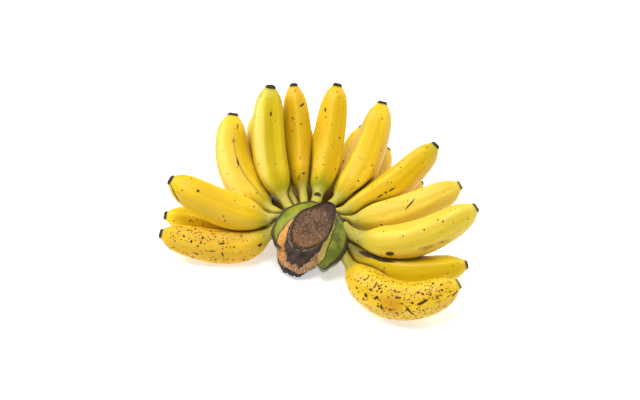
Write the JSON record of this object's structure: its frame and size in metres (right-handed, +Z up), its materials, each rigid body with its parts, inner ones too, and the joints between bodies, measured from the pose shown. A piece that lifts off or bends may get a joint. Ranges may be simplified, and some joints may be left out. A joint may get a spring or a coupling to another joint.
{
  "type": "hand of lady finger bananas",
  "caption": "Hand of short plump ripe lady finger bananas fanned in two rows from a green crown with a cut brown stalk, lying on a table.",
  "frame": {"origin": "centre of the bounding box at the level of the table that the hand lies on", "axes": "+X to the right as seen from the stalk's side, +Y from the stalk towards the back of the fan, +Z up"},
  "size_m": [0.28, 0.217, 0.12],
  "materials": {
    "banana_skin": "ripe waxy yellow peel, paler along its soft ridges, green at the stem, with brown sugar spots, scars and a dry black tip",
    "green_crown": "smooth green crown tissue with a dark dried rim",
    "dry_stalk": "dry fibrous brown cut with grey-black and orange-tan torn sides"
  },
  "bodies": {
    "root": {"stalk_stump": "dry_stalk", "crown": "green_crown", "upper_finger_01": "banana_skin", "upper_finger_02": "banana_skin", "upper_finger_03": "banana_skin", "upper_finger_04": "banana_skin", "upper_finger_05": "banana_skin", "upper_finger_06": "banana_skin", "upper_finger_07": "banana_skin", "upper_finger_08": "banana_skin", "upper_finger_09": "banana_skin", "upper_finger_10": "banana_skin", "upper_finger_11": "banana_skin", "lower_finger_01": "banana_skin", "lower_finger_02": "banana_skin", "lower_finger_03": "banana_skin", "lower_finger_04": "banana_skin", "lower_finger_05": "banana_skin", "lower_finger_06": "banana_skin", "lower_finger_07": "banana_skin", "lower_finger_08": "banana_skin"}
  },
  "joints": []
}
